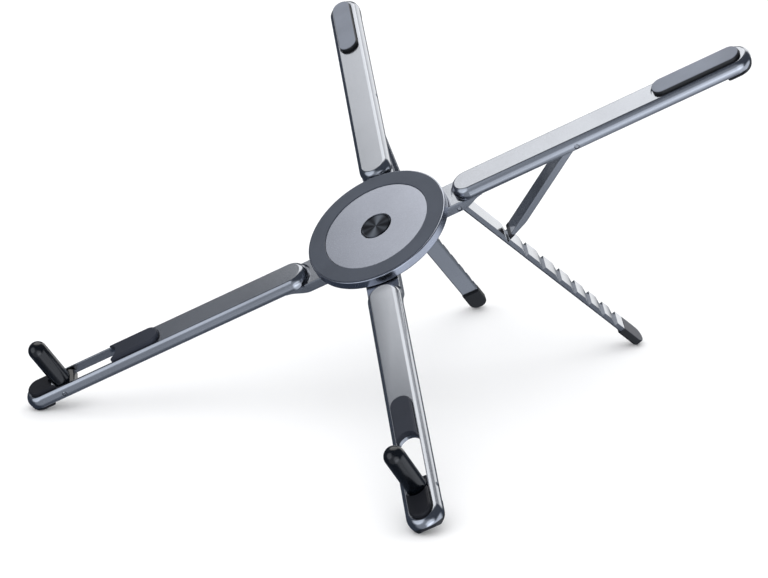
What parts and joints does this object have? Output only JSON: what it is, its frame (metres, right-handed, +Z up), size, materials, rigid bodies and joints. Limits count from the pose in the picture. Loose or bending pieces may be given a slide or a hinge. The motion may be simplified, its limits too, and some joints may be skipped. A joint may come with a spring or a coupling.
{
  "type": "folding laptop stand",
  "caption": "Cross-shaped tilting stand: two scissor bars under a round platform, fold-away stop pegs at the front and toothed legs with locking struts at the rear.",
  "frame": {"origin": "on the table, below the middle of the open stand", "axes": "+Z up from the table, the low front edge with the stop pegs towards -Y, +X to the right of someone sitting at the front"},
  "size_m": [0.1934, 0.176, 0.1142],
  "materials": {
    "grey_aluminium": "anodised, satin",
    "disc_aluminium": "fine-blasted, satin",
    "spun_aluminium": "turned rings",
    "steel": "plated",
    "grey_silicone": "matte",
    "pale_silicone": "matte",
    "black_plastic": "satin",
    "black_rubber": "matte",
    "white_nylon": "matte"
  },
  "bodies": {
    "upper_frame": {"upper_bar": "grey_aluminium", "platform_disc": "disc_aluminium", "platform_ring_pad": "grey_silicone", "pivot_cap": "spun_aluminium", "pivot_spindle": "steel", "pivot_nut": "steel", "foot_front_left": "black_rubber", "foot_rear_right": "black_rubber", "long_pad_left": "grey_silicone", "tip_pad_left": "grey_silicone", "rear_pad_right": "pale_silicone", "peg_pin_left": "steel", "leg_pin_right": "steel", "strut_pin_right": "steel"},
    "lower_frame": {"lower_bar": "grey_aluminium", "pivot_spacer": "white_nylon", "pivot_spring_washer": "steel", "foot_front_right": "black_rubber", "foot_rear_left": "black_rubber", "long_pad_right": "grey_silicone", "tip_pad_right": "grey_silicone", "rear_pad_left": "pale_silicone", "peg_pin_right": "steel", "leg_pin_left": "steel", "strut_pin_left": "steel"},
    "left_peg": {"peg_left": "black_plastic"},
    "right_peg": {"peg_right": "black_plastic"},
    "left_leg": {"leg_left": "grey_aluminium", "leg_boot_left": "black_rubber"},
    "right_leg": {"leg_right": "grey_aluminium", "leg_boot_right": "black_rubber"},
    "left_strut": {"strut_left": "grey_aluminium", "strut_tip_left": "black_plastic"},
    "right_strut": {"strut_right": "grey_aluminium", "strut_tip_right": "black_plastic"}
  },
  "joints": [
    {"name": "scissor_turn", "type": "hinge", "parent": "upper_frame", "child": "lower_frame", "pos_m": [0, -0.00277, 0.05969], "axis": [0, -0.554, 0.8325], "range_deg": [0, 73]},
    {"name": "left_peg_fold", "type": "hinge", "parent": "upper_frame", "child": "left_peg", "pos_m": [-0.08457, -0.07508, 0.00881], "axis": [-0.7071, 0.5887, 0.3917], "range_deg": [0, 90]},
    {"name": "right_peg_fold", "type": "hinge", "parent": "lower_frame", "child": "right_peg", "pos_m": [0.08457, -0.07508, 0.00881], "axis": [-0.7071, -0.5887, -0.3917], "range_deg": [0, 90]},
    {"name": "left_leg_fold", "type": "hinge", "parent": "lower_frame", "child": "left_leg", "pos_m": [-0.01782, 0.0184, 0.06693], "axis": [0.7071, 0.5887, 0.3917], "range_deg": [0, 72]},
    {"name": "left_strut_fold", "type": "hinge", "parent": "lower_frame", "child": "left_strut", "pos_m": [-0.04914, 0.04287, 0.0867], "axis": [0.7071, 0.5887, 0.3917], "range_deg": [0, 142.9]},
    {"name": "right_leg_fold", "type": "hinge", "parent": "upper_frame", "child": "right_leg", "pos_m": [0.01782, 0.0184, 0.06693], "axis": [0.7071, -0.5887, -0.3917], "range_deg": [0, 72]},
    {"name": "right_strut_fold", "type": "hinge", "parent": "upper_frame", "child": "right_strut", "pos_m": [0.04914, 0.04287, 0.0867], "axis": [0.7071, -0.5887, -0.3917], "range_deg": [0, 142.9]}
  ],
  "couplings": [
    {"joint": "left_strut_fold", "follows": "left_leg_fold", "ratio": 1.9825},
    {"joint": "right_strut_fold", "follows": "right_leg_fold", "ratio": 1.9825}
  ]
}
